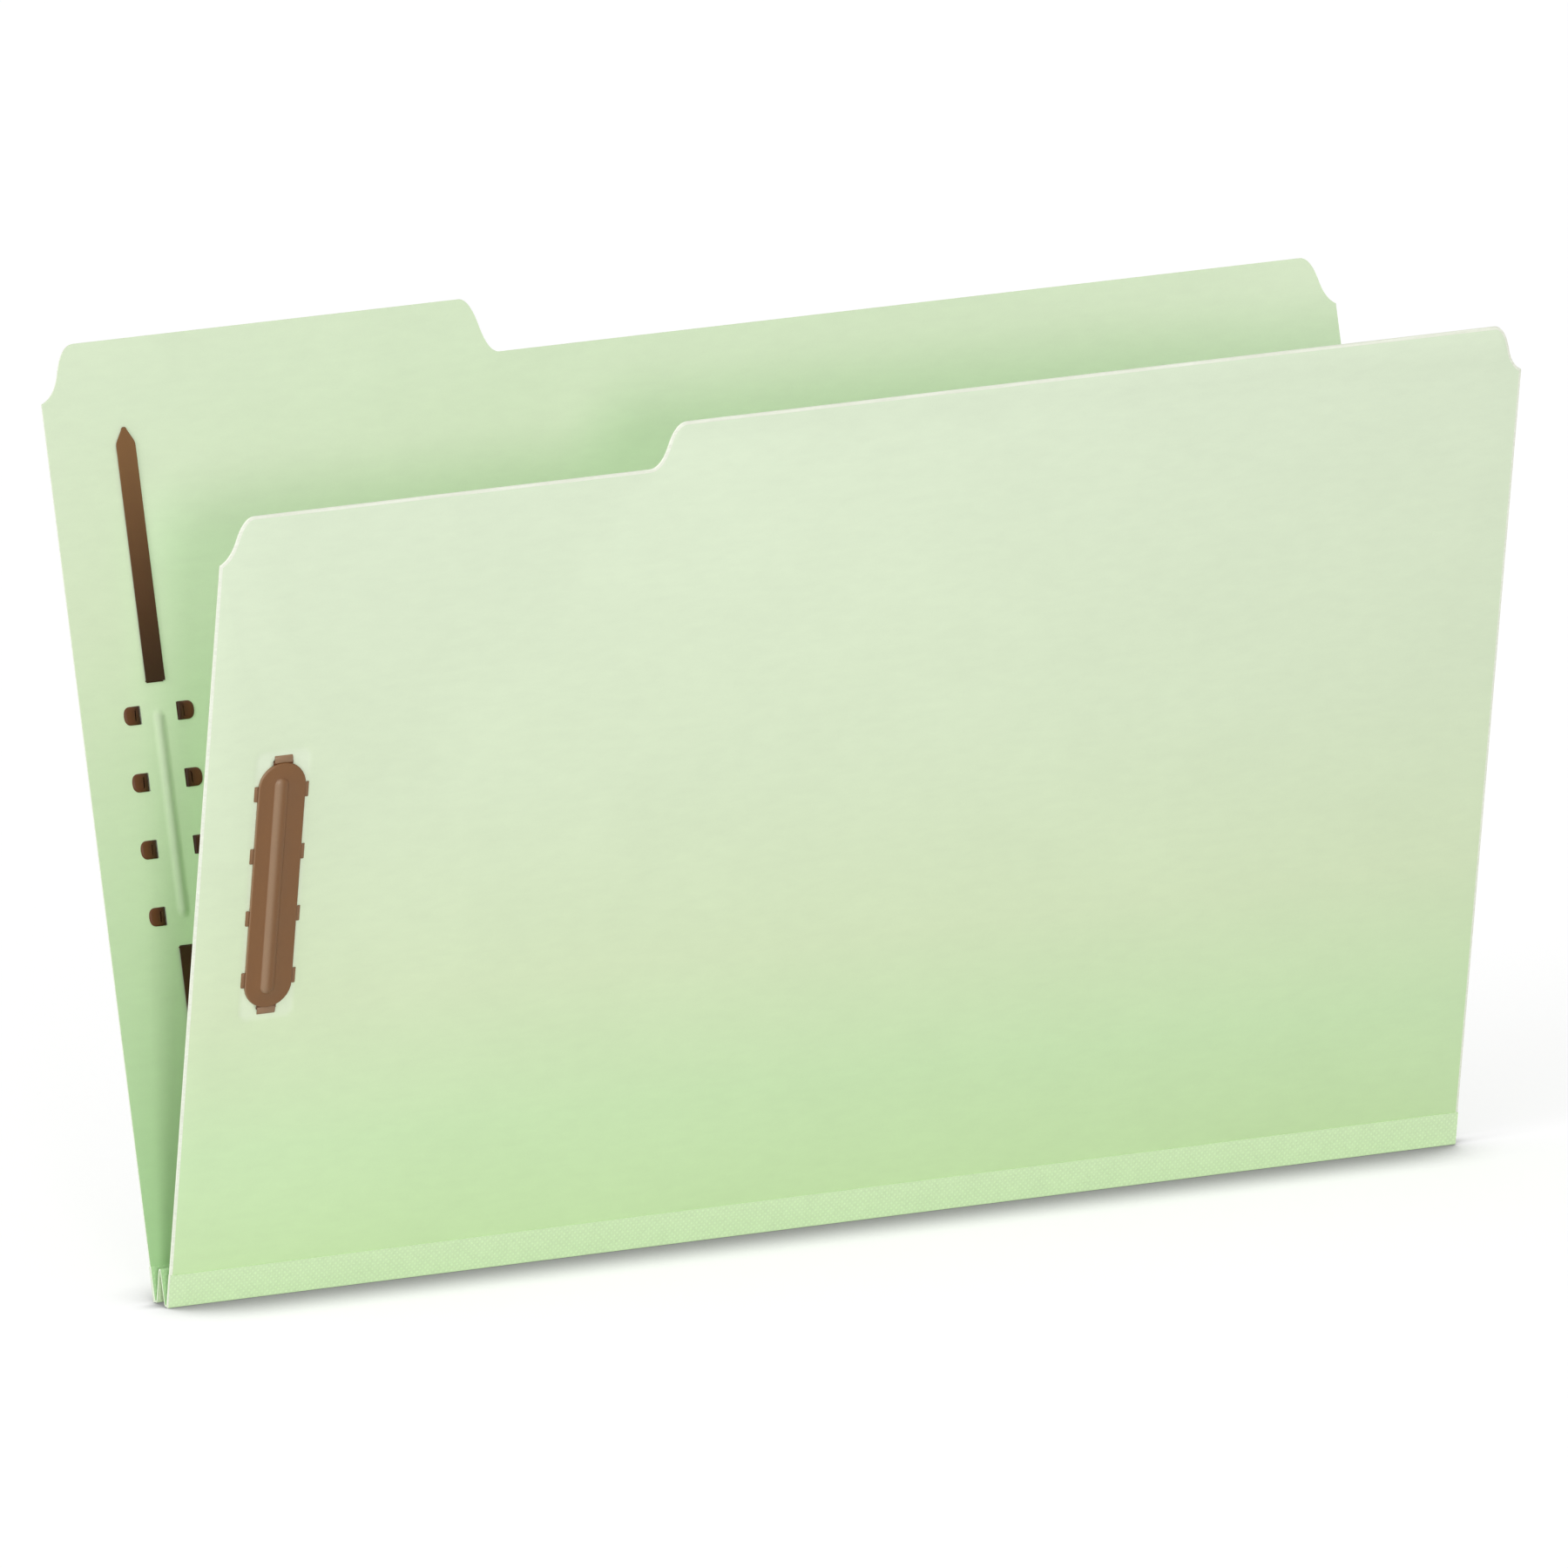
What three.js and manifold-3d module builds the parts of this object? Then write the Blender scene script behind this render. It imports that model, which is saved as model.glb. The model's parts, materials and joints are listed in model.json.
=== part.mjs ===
// A legal-size pressboard fastener folder, standing open on its spine.
// Millimetres: X runs along the spine, +Y to the rear, +Z up.
//
// Each cover is drawn in its own frame, whose origin is the fold line at its foot. Heights are
// measured up the cover from that line, and depths outwards from it, away from the papers.

import * as THREE from 'three';
import { mergeVertices } from 'three/addons/utils/BufferGeometryUtils.js';
import Module from 'manifold-3d';

const wasm = await Module();
wasm.setup();

// How far the folder stands open
const openingAngle = THREE.MathUtils.degToRad(26.4);

// Covers
const coverWidth = 374.65;
const coverHeight = 236;
const boardThickness = 0.8;
const notchWidth = 9;
const notchDepth = 13;
const notchInset = 4.2;
const tabHeight = 14.8;
const tabWidth = 121.3;
const tabInset = 5.5;
const lowSideDrop = 12.5;
const stepWidth = 10;
const cornerFlare = 1.5;
const cornerLean = 0.25;

// Spine tape
const tapeThickness = 0.2;
const bandHeight = 9.5;
const tapeSeatDepth = 0.15;
const tapeSeatMargin = 0.8;
const pleatLeg = 9.3;

// Prong strips
const prongSpacing = 69.85;
const prongLength = 66.7;
const prongWidth = 5.5;
const prongTipLength = 4.2;
const prongTipWidth = 1.6;
const metalThickness = 0.3;
const waistLength = 61;
const waistWidth = 2.6;

// Fastener plates
const plateLength = 69.3;
const plateWidth = 13.5;
const plateRibLength = 61;
const plateRibWidth = 3.7;
const plateRibHeight = 0.5;
const ribBevel = 0.2;
const endLoopWidth = 5.1;
const endLoopLength = 2.4;
const sideLoopLength = 1;
const tangRows = 4;
const tangFromEnd = 8.25;
const tangWidth = 4.2;
const tangInset = 1.15;
const tangEndWidth = 4.9;
const tangReach = 4.6;

// Where the fasteners sit
const fastenerFromEnd = 22.1;
const frontTipAboveBand = 7;
const rearTipAboveBand = 15;
const embossDepth = 0.5;
const embossWall = 0.3;

// Clearances
const seatGap = 0.3;
const creaseGap = 0.15;

// Smoothness of curved outlines and bevels, and how near two corners are one
const curveSteps = 8;
const bevelSteps = 2;
const weldDistance = 1e-4;

// Depths of the layers of a cover, from its fold line outwards
const innerBandDepth = creaseGap;
const boardDepth = innerBandDepth + tapeThickness + seatGap - tapeSeatDepth;
const boardOuterDepth = boardDepth + boardThickness;
const outerBandDepth = boardOuterDepth - tapeSeatDepth + seatGap;
const coverDepth = outerBandDepth + tapeThickness;
const stripDepth = boardOuterDepth - embossDepth + seatGap;
const plateDepth = Math.max(boardOuterDepth, stripDepth + metalThickness) + seatGap;
const prongDepth = boardDepth - seatGap - metalThickness;
const prongFoldDepth = prongDepth + metalThickness / 2;

// Heights at the foot of a cover, and depths of a pleat leg, from their fold line
const boardFoot = creaseGap + tapeThickness + seatGap;
const pleatOuterDepth = creaseGap + tapeThickness + seatGap;
const pleatDepth = pleatOuterDepth + tapeThickness + creaseGap;

const fastenerX = -coverWidth / 2 + fastenerFromEnd;
const tipHeightToCentre = prongLength + prongSpacing / 2;
const tangX = plateWidth / 2 - tangInset;
const tangPitch = (plateLength - 2 * tangFromEnd) / (tangRows - 1);
const prongRoot = metalThickness / 2 + creaseGap;

const pressboard = new THREE.MeshStandardMaterial({ color: 0xd0e4ba, roughness: 0.75, metalness: 0 });
const tape = new THREE.MeshStandardMaterial({ color: 0xcce3b2, roughness: 0.85, metalness: 0 });
const brownMetal = new THREE.MeshStandardMaterial({ color: 0x825f40, roughness: 0.45, metalness: 0.1 });

// Solids for cutting and joining

function toSolid(geometry) {
  const bare = geometry.clone();
  bare.deleteAttribute('normal');
  bare.deleteAttribute('uv');
  const merged = mergeVertices(bare, weldDistance);
  return new wasm.Manifold(new wasm.Mesh({
    numProp: 3,
    vertProperties: merged.attributes.position.array,
    triVerts: Uint32Array.from(merged.index.array),
  }));
}

function toGeometry(solid) {
  const { vertProperties, triVerts } = solid.getMesh();
  const geometry = new THREE.BufferGeometry();
  geometry.setAttribute('position', new THREE.BufferAttribute(vertProperties, 3));
  geometry.setIndex(new THREE.BufferAttribute(triVerts, 1));
  geometry.computeVertexNormals();
  return geometry;
}

function join(pieces) {
  return pieces.map(toSolid).reduce((whole, piece) => whole.add(piece));
}

function addMesh(group, name, geometry, material) {
  const mesh = new THREE.Mesh(geometry, material);
  mesh.name = name;
  group.add(mesh);
}

// Outlines are drawn with X along the spine and Y up the cover.
// outward is 1 on the rear cover and -1 on the front one.

function sheet(outline, depth, thickness, outward) {
  const geometry = new THREE.ExtrudeGeometry(outline, {
    depth: thickness, bevelEnabled: false, curveSegments: curveSteps,
  });
  geometry.rotateX(Math.PI / 2);
  geometry.translate(0, outward > 0 ? depth + thickness : -depth, 0);
  return geometry;
}

function bar(x, height, width, length, depth, thickness, outward) {
  const geometry = new THREE.BoxGeometry(width, thickness, length);
  geometry.translate(x, outward * (depth + thickness / 2), height);
  return geometry;
}

// An S whose two parabolas meet at middleX, halfway up it. Between its ends it leans outwards
// towards its foot, and its lower end meets the cover's edge on a slant where flare isn't zero.
function sCurve(outline, from, to, middleX, flare) {
  const middleY = (from[1] + to[1]) / 2;
  const lean = cornerLean * Math.sign((to[0] - from[0]) * (from[1] - to[1]));
  const turnOf = ([, endY]) => {
    const y = endY < middleY ? endY + flare : endY;
    return [middleX + lean * (middleY - y), y];
  };
  outline.quadraticCurveTo(...turnOf(from), middleX, middleY);
  outline.quadraticCurveTo(...turnOf(to), ...to);
}

function obround(x, height, width, length) {
  const radius = width / 2;
  const reach = length / 2 - radius;
  const outline = new THREE.Shape();
  outline.absarc(x, height + reach, radius, 0, Math.PI);
  outline.absarc(x, height - reach, radius, Math.PI, 2 * Math.PI);
  outline.closePath();
  return outline;
}

// Cover boards

function frontOutline() {
  const left = -coverWidth / 2;
  const right = coverWidth / 2;
  const stepX = left + tabInset + tabWidth;
  const lowTop = coverHeight - lowSideDrop;
  const outline = new THREE.Shape();
  outline.moveTo(right, boardFoot);
  const notchFoot = [right, coverHeight - notchDepth];
  outline.lineTo(...notchFoot);
  sCurve(outline, notchFoot, [right - notchWidth, coverHeight], right - notchInset, cornerFlare);
  const stepTop = [stepX + stepWidth / 2, coverHeight];
  outline.lineTo(...stepTop);
  sCurve(outline, stepTop, [stepX - stepWidth / 2, lowTop], stepX, 0);
  const notchTop = [left + notchWidth, lowTop];
  outline.lineTo(...notchTop);
  sCurve(outline, notchTop, [left, lowTop - notchDepth], left + notchInset, cornerFlare);
  outline.lineTo(left, boardFoot);
  outline.closePath();
  return outline;
}

function rearOutline() {
  const left = -coverWidth / 2;
  const right = coverWidth / 2;
  const tabTop = coverHeight + tabHeight;
  const tabLeft = left + tabInset;
  const tabRight = tabLeft + tabWidth;
  const outline = new THREE.Shape();
  outline.moveTo(right, boardFoot);
  const notchFoot = [right, coverHeight - notchDepth];
  outline.lineTo(...notchFoot);
  sCurve(outline, notchFoot, [right - notchWidth, coverHeight], right - notchInset, cornerFlare);
  const tabFoot = [tabRight + stepWidth / 2, coverHeight];
  outline.lineTo(...tabFoot);
  sCurve(outline, tabFoot, [tabRight - stepWidth / 2, tabTop], tabRight, 0);
  const tabStart = [tabLeft + tabInset, tabTop];
  outline.lineTo(...tabStart);
  sCurve(outline, tabStart, [left, coverHeight], tabLeft, cornerFlare);
  outline.lineTo(left, boardFoot);
  outline.closePath();
  return outline;
}

// The prong strip is narrow in the middle and as wide as the prongs at its ends.
function stripOutline(centre, margin) {
  const halfWaist = waistWidth / 2 + margin;
  const halfEnd = prongWidth / 2 + margin;
  const waistReach = waistLength / 2 - margin;
  const endReach = (prongSpacing + metalThickness) / 2 + margin;
  const rightSide = [
    [halfEnd, -endReach], [halfEnd, -waistReach], [halfWaist, -waistReach],
    [halfWaist, waistReach], [halfEnd, waistReach], [halfEnd, endReach],
  ];
  const leftSide = rightSide.map(([x, y]) => [-x, y]).reverse();
  const points = [...rightSide, ...leftSide];
  return new THREE.Shape(points.map(([x, y]) => new THREE.Vector2(fastenerX + x, centre + y)));
}

function tangHeights(centre) {
  const first = centre - (tangRows - 1) * tangPitch / 2;
  return Array.from({ length: tangRows }, (_, row) => first + row * tangPitch);
}

// The board is pressed a little thinner on both faces where the tape is glued on, and the
// seat reaches a little higher than the tape.
function cutTapeSeats(solid, outward) {
  const seatLength = 2 * (bandHeight + tapeSeatMargin);
  const innerSeat = boardDepth + tapeSeatDepth - boardThickness;
  const outerSeat = boardOuterDepth - tapeSeatDepth;
  return [innerSeat, outerSeat].reduce((rest, depth) => {
    const seat = bar(0, 0, 2 * coverWidth, seatLength, depth, boardThickness, outward);
    return rest.subtract(toSolid(seat));
  }, solid);
}

function board(outline, centre, outward) {
  const rib = obround(fastenerX, centre, waistWidth + 2 * (seatGap + embossWall), waistLength);
  const bedDepth = boardOuterDepth - embossDepth;
  let solid = join([
    sheet(outline, boardDepth, boardThickness, outward),
    sheet(rib, boardDepth - embossDepth, boardThickness, outward),
  ]);
  // The bed runs out past the board's outer face, so that the cut leaves no skin.
  solid = solid.subtract(toSolid(sheet(stripOutline(centre, seatGap), bedDepth, boardThickness, outward)));
  const through = 2 * boardThickness;
  const throughDepth = boardDepth - boardThickness / 2;
  const slotHeight = metalThickness + 2 * seatGap;
  for (const end of [-1, 1]) {
    const slot = bar(fastenerX, centre + end * prongSpacing / 2, prongWidth + 2 * seatGap, slotHeight,
      throughDepth, through, outward);
    solid = solid.subtract(toSolid(slot));
    for (const height of tangHeights(centre)) {
      const slit = bar(fastenerX + end * tangX, height, metalThickness + 2 * seatGap,
        tangWidth + 2 * seatGap, throughDepth, through, outward);
      solid = solid.subtract(toSolid(slit));
    }
  }
  return toGeometry(cutTapeSeats(solid, outward));
}

// Fastener

function plateRib(centre, outward) {
  const outline = obround(fastenerX, centre, plateRibWidth - 2 * ribBevel, plateRibLength - 2 * ribBevel);
  const geometry = new THREE.ExtrudeGeometry(outline, {
    depth: metalThickness + plateRibHeight - 2 * ribBevel,
    bevelThickness: ribBevel,
    bevelSize: ribBevel,
    bevelSegments: bevelSteps,
    curveSegments: curveSteps,
  });
  geometry.rotateX(Math.PI / 2);
  const inner = plateDepth + ribBevel;
  const outer = plateDepth + metalThickness + plateRibHeight - ribBevel;
  geometry.translate(0, outward > 0 ? outer : -inner, 0);
  return geometry;
}

function clinchedEnd(side, height, outward) {
  const flat = fastenerX + side * (tangX - metalThickness / 2);
  const half = tangEndWidth / 2;
  const roundX = flat + side * (tangReach - half);
  const outline = new THREE.Shape();
  outline.moveTo(flat, height - side * half);
  outline.lineTo(roundX, height - side * half);
  const start = side > 0 ? -Math.PI / 2 : Math.PI / 2;
  outline.absarc(roundX, height, half, start, start + Math.PI);
  outline.lineTo(flat, height + side * half);
  outline.closePath();
  return sheet(outline, prongDepth, metalThickness, outward);
}

function plate(centre, outward) {
  const pieces = [
    sheet(obround(fastenerX, centre, plateWidth, plateLength), plateDepth, metalThickness, outward),
    plateRib(centre, outward),
    bar(fastenerX, centre, endLoopWidth, plateLength + 2 * endLoopLength, plateDepth, metalThickness, outward),
  ];
  for (const height of tangHeights(centre)) {
    pieces.push(bar(fastenerX, height, plateWidth + 2 * sideLoopLength, tangWidth,
      plateDepth, metalThickness, outward));
    for (const side of [-1, 1]) {
      pieces.push(bar(fastenerX + side * tangX, height, metalThickness, tangWidth,
        prongDepth, plateDepth + metalThickness - prongDepth, outward));
      pieces.push(clinchedEnd(side, height, outward));
    }
  }
  return toGeometry(join(pieces));
}

function strip(centre, outward) {
  const legDepth = prongFoldDepth + metalThickness / 2;
  const pieces = [sheet(stripOutline(centre, 0), stripDepth, metalThickness, outward)];
  for (const end of [-1, 1]) {
    pieces.push(bar(fastenerX, centre + end * prongSpacing / 2, prongWidth, metalThickness,
      legDepth, stripDepth + metalThickness - legDepth, outward));
  }
  return toGeometry(join(pieces));
}

// A prong points along +Z (up) or -Z (down) from its fold line.
function prong(direction) {
  const half = prongWidth / 2;
  const halfTip = prongTipWidth / 2;
  const shoulder = prongLength - prongTipLength;
  const outline = new THREE.Shape();
  outline.moveTo(-half, direction * prongRoot);
  outline.lineTo(half, direction * prongRoot);
  outline.lineTo(half, direction * shoulder);
  outline.lineTo(halfTip, direction * (prongLength - halfTip));
  outline.quadraticCurveTo(0, direction * prongLength, -halfTip, direction * (prongLength - halfTip));
  outline.lineTo(-half, direction * shoulder);
  outline.closePath();
  return sheet(outline, -metalThickness / 2, metalThickness, 1);
}

// Spine tape, drawn as sections (depth, height) and run along the whole spine

function spineStrip(points, outward) {
  const ordered = outward > 0 ? points : [...points].reverse();
  const section = new THREE.Shape(ordered.map(([depth, height]) => new THREE.Vector2(outward * depth, height)));
  const geometry = new THREE.ExtrudeGeometry(section, { depth: coverWidth, bevelEnabled: false });
  geometry.applyMatrix4(new THREE.Matrix4().set(0, 0, 1, -coverWidth / 2, 1, 0, 0, 0, 0, 1, 0, 0, 0, 0, 0, 1));
  return geometry;
}

function flatStrip(depth, from, to, outward) {
  const outer = depth + tapeThickness;
  return spineStrip([[depth, from], [outer, from], [outer, to], [depth, to]], outward);
}

// The outer band runs up the board's outside and turns in under its lower edge.
function outerBand(outward) {
  const footTop = creaseGap + tapeThickness;
  return spineStrip([
    [creaseGap, creaseGap], [coverDepth, creaseGap], [coverDepth, bandHeight],
    [outerBandDepth, bandHeight], [outerBandDepth, footTop], [creaseGap, footTop],
  ], outward);
}

// Assemblies

function foldAt(parent, depth, height, angle) {
  const frame = new THREE.Group();
  frame.position.set(0, depth, height);
  frame.rotation.x = angle;
  parent.add(frame);
  return frame;
}

function addProng(cover, name, direction, centre, outward) {
  const frame = new THREE.Group();
  frame.name = `${name}_fold`;
  frame.position.set(fastenerX, outward * prongFoldDepth, centre + direction * prongSpacing / 2);
  cover.add(frame);
  addMesh(frame, name, prong(direction), brownMetal);
}

function addCover(cover, side, outline, tipAboveBand, outward) {
  const centre = bandHeight + tipAboveBand + tipHeightToCentre;
  addMesh(cover, `${side}_cover`, board(outline, centre, outward), pressboard);
  addMesh(cover, `${side}_outer_tape_band`, outerBand(outward), tape);
  addMesh(cover, `${side}_inner_tape_band`, flatStrip(innerBandDepth, boardFoot, bandHeight, outward), tape);
  addMesh(cover, `${side}_fastener_plate`, plate(centre, outward), brownMetal);
  addMesh(cover, `${side}_prong_strip`, strip(centre, outward), brownMetal);
  addProng(cover, `${side}_upper_prong`, 1, centre, outward);
  addProng(cover, `${side}_lower_prong`, -1, centre, outward);
}

// The leg's plies lie behind its fold plane, seen from the cover that it folds against.
function addPleatLeg(leg, side, outward) {
  const end = pleatLeg - creaseGap;
  addMesh(leg, `${side}_pleat_inner_tape`, flatStrip(creaseGap, creaseGap, end, outward), tape);
  addMesh(leg, `${side}_pleat_outer_tape`, flatStrip(pleatOuterDepth, creaseGap, end, outward), tape);
}

const folder = new THREE.Group();
const rearCover = foldAt(folder, 0, 0, -openingAngle / 2);
const rearLeg = foldAt(rearCover, 0, 0, openingAngle);
const pleatFold = foldAt(rearLeg, -pleatDepth, pleatLeg, -openingAngle);
const frontLeg = foldAt(pleatFold, -pleatDepth, -pleatLeg, 0);
const frontCover = foldAt(frontLeg, 0, 0, openingAngle);
rearLeg.name = 'rear_crease';
pleatFold.name = 'pleat_crease';
frontCover.name = 'front_crease';

addCover(rearCover, 'rear', rearOutline(), rearTipAboveBand, 1);
addPleatLeg(rearLeg, 'rear', -1);
addPleatLeg(frontLeg, 'front', 1);
addCover(frontCover, 'front', frontOutline(), frontTipAboveBand, -1);

// The origin is the middle of the space that the folder takes up, at the height it stands on.
const space = new THREE.Box3().setFromObject(folder, true);
const middle = space.getCenter(new THREE.Vector3());
folder.position.set(-middle.x, -middle.y, -space.min.z);

export default folder;
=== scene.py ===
"""The looks of a legal-size pressboard fastener folder that stands open on its spine."""

import json
import math

import bmesh
import bpy
from mathutils import Matrix, Vector
from mathutils.geometry import delaunay_2d_cdt


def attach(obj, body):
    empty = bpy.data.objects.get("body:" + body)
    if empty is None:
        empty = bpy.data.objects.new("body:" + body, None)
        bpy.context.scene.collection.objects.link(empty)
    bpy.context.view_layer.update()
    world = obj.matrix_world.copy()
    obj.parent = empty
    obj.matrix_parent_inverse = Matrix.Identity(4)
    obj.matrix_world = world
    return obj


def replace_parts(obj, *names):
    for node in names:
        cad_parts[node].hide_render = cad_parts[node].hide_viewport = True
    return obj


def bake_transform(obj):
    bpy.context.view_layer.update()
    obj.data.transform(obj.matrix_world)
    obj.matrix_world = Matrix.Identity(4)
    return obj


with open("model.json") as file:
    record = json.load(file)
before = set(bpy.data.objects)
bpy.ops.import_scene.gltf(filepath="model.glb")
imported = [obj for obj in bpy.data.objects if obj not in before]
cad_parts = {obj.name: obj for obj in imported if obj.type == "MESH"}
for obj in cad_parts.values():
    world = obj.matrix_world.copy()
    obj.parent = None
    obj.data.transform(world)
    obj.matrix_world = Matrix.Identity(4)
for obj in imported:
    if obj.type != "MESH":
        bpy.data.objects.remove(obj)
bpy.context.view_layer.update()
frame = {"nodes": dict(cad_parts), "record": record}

# Lengths are in millimetres until a point is placed in the frame, which is in metres.
MM = 0.001

# How far each cover leans from the upright
LEAN = math.radians(13.2)

# Covers
COVER_WIDTH = 374.65
COVER_HEIGHT = 236.0
BOARD_THICKNESS = 0.8
BOARD_DEPTH = 0.5
BOARD_FOOT = 0.35
NOTCH_WIDTH = 9.0
NOTCH_DEPTH = 13.0
NOTCH_INSET = 4.2
TAB_HEIGHT = 14.8
TAB_WIDTH = 121.3
TAB_INSET = 5.5
LOW_SIDE_DROP = 12.5
STEP_WIDTH = 10.0
CORNER_FLARE = 1.5
CORNER_LEAN = 0.25
CORNER_STEPS = 14

# Spine tape
TAPE_THICKNESS = 0.2
BAND_HEIGHT = 9.5
PLEAT_LEG = 9.3
PLEAT_DEPTH = 1.0
PLY_DEPTH = 0.3
TAPE_FOLD_ROUND = 0.35

# Fasteners
FASTENER_FROM_END = 22.1
CENTRE_HEIGHT = {"rear": 126.125, "front": 118.125}

# Prongs
PRONG_SPACING = 69.85
PRONG_LENGTH = 66.7
PRONG_WIDTH = 5.5
PRONG_TIP_LENGTH = 4.2
PRONG_TIP_WIDTH = 1.6
PRONG_SHOULDER_ROUND = 0.8
PRONG_THICKNESS = 0.3
PRONG_FOLD_DEPTH = 0.05
# How far from its root the painted shade on a prong reaches
PRONG_BEND_SHADE_REACH = 5.0
PRONG_EDGE = 0.1
PRONG_EDGE_DEPTH = 0.09
PRONG_POINT_STEPS = 4
PRONG_ROOT_STEPS = 12

# Plates
PLATE_LENGTH = 69.3
PLATE_WIDTH = 13.5
PLATE_FOOT_DEPTH = 1.2
PLATE_TOP_DEPTH = 1.95
PLATE_RIM_ROUND = 0.5
PLATE_RIB_LENGTH = 61.0
PLATE_RIB_WIDTH = 4.0
PLATE_RIB_SHIFT = -0.4
PLATE_RIB_HEIGHT = 0.9
PLATE_RIB_MARGIN = 0.15
PLATE_RIB_STEPS = 9

# The bent loops round a plate
END_LOOP_WIDTH = 5.1
END_LOOP_LENGTH = 2.2
SIDE_LOOP_LENGTH = 1.05
LOOP_THICKNESS = 0.3
LOOP_DROP = 0.3
LOOP_SINK = 0.3
LOOP_ROOT = 0.3
LOOP_ROOT_DROP = 0.4
LOOP_EDGE = 0.06
LOOP_EDGE_WIDTH = 0.08

# As shares of a loop's length: where its rise aims, where its crest lies, how far its bend falls
LOOP_RISE = 0.1
LOOP_CREST = 0.45
LOOP_FALL = 0.6

# How pale the painted highlight makes the loops, and where the painted highlight on the side of a plate's
# rib and rim towards the light starts and ends
END_LOOP_HIGHLIGHT = 0.8
SIDE_LOOP_HIGHLIGHT = 0.3
RIB_HIGHLIGHT_START = 0.5
RIB_HIGHLIGHT_FULL = -1.2
RIB_HIGHLIGHT_RISE = 0.27
RIM_HIGHLIGHT_DROP = 0.25

# The tangs of a plate, whose ends lie bent over on the inner face
TANG_ROWS = 4
TANG_FROM_END = 8.25
TANG_WIDTH = 4.2
TANG_X = 5.6
TANG_END_WIDTH = 4.9
TANG_REACH = 4.6
TANG_FLAT_X = 5.45
TANG_RISE = 0.48
TANG_STEPS = 6
# How far from the slit the painted shade on a tang's end reaches
TANG_BEND_SHADE_REACH = 3.4
TANG_CORNER = 2.0
TANG_TOP_INSET = 1.3
TANG_TOP_START = 1.6

# The cut rim of a board, which shows its pale core on the outer face
RIM_WIDTH = 0.65
RIM_DROP = 0.2

# The board round a fastener
SLOT_WIDTH = 4.9
SLOT_HEIGHT = 0.9
SLIT_WIDTH = 0.9
SLIT_MARGIN = 0.6
RIDGE_HEIGHT = 0.5
RIDGE_HALF_WIDTH = 2.0
RIDGE_LENGTH = 55.0
STRIP_BED_DEPTH = 0.5
STRIP_END_BED_DEPTH = 0.3
STRIP_END_MARGIN = 0.4
STRIP_END_START = 1.0
STRIP_END_STOP = 0.5
HALO_HALF_WIDTH = 8.4
HALO_HALF_LENGTH = 38.6
HALO_CORNER = 3.0
HALO_DEPTH = 0.14
HALO_EDGE = 1.6

# The net of a board's faces: its close points round the fastener, and its limits
NET_MARGIN = 2.0
NET_COLUMN = 0.5
NET_ROW = 1.0
SAME_POINT = 1e-5
LEAST_MITRE = 0.5

OUTWARD = {"rear": 1, "front": -1}
FASTENER_X = -COVER_WIDTH / 2 + FASTENER_FROM_END
TANG_PITCH = (PLATE_LENGTH - 2 * TANG_FROM_END) / (TANG_ROWS - 1)
FOLDS = {joint["name"]: Vector(joint["pos_m"]) for joint in frame["record"]["behaviour"]["joints"]}


# Places in the frame

def on_cover(side, x, depth, height):
    """A point given along the spine, outwards from the cover's fold and up the cover."""
    outward = OUTWARD[side]
    fold = FOLDS[f"{side}_crease"]
    y = outward * (height * math.sin(LEAN) + depth * math.cos(LEAN))
    z = height * math.cos(LEAN) - depth * math.sin(LEAN)
    return Vector((x * MM, fold.y + y * MM, fold.z + z * MM))


def depth_on(side, point):
    """How far outwards of the cover's fold a placed point lies."""
    fold = FOLDS[f"{side}_crease"]
    from_fold = (point - fold) / MM
    return OUTWARD[side] * from_fold.y * math.cos(LEAN) - from_fold.z * math.sin(LEAN)


def on_leg(side, x, depth, height):
    """A point given along the spine, behind a pleat leg's fold plane and up the leg."""
    outward = OUTWARD[side]
    fold = FOLDS[f"{side}_crease"]
    y = -outward * (height * math.sin(LEAN) + depth * math.cos(LEAN))
    z = height * math.cos(LEAN) - depth * math.sin(LEAN)
    return Vector((x * MM, fold.y + y * MM, fold.z + z * MM))


def smooth_step(low, high, value):
    """From 0 at low to 1 at high, with soft ends. The value may also fall from low to high."""
    share = min(max((value - low) / (high - low), 0.0), 1.0)
    return share * share * (3 - 2 * share)


# Materials

# How strongly the painted highlight round a plate, the painted highlight on a plate's rib, rim and loops,
# and the painted shade where metal bends into a slit show in the colour
HALO_HIGHLIGHT_SHARE = 0.35
PLATE_HIGHLIGHT_SHARE = 0.45
BENT_SHADE_BRIGHTNESS = 0.35

# Painted shade: the ridge between the prongs is greyer than the inner face round it, and the face is greener
# where the other cover hides it from the light: from its top edge down, from its left end to the right, and
# past the step beside its low side
RIDGE_SHADE_TINT = (0.83, 0.815, 0.84, 1)
HIDDEN_SHADE_TINT = (1.06, 1.17, 1.07, 1)
HIDDEN_FROM = 4.0
HIDDEN_FULLY_FROM = 30.0
HIDDEN_FROM_SIDE = 10.0
HIDDEN_FULLY_FROM_SIDE = 36.0
HIDDEN_STEP_FROM = 14.0
HIDDEN_STEP_TO = 42.0

# Reliefs, and the pitch of the tape's threads
RIDGE_RELIEF = 0.2
CLOUD_RELIEF = 0.12
FLECK_RELIEF = 0.03
TOOTH_RELIEF = 0.012
LAYER_RELIEF = 0.05
FIBRE_RELIEF = 0.04
THREAD_RELIEF = 0.04
SPECKLE_RELIEF = 0.02
PEEL_RELIEF = 0.01
DUST_RELIEF = 0.004
THREAD_PITCH = 1.1
THREAD_SWAY = 0.6
SWAY_SCALE = 1.5

# The roughness of each noise, and its middle half, where most of its values lie
NOISE_ROUGHNESS = 0.55
NOISE_LOW = 0.25
NOISE_HIGH = 0.75


def linear(red, green, blue):
    """A colour as a screen shows it, from 0 to 255, as the shader's linear colour."""
    def channel(value):
        value /= 255
        return value / 12.92 if value <= 0.04045 else ((value + 0.055) / 1.055) ** 2.4
    return (channel(red), channel(green), channel(blue), 1.0)


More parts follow.
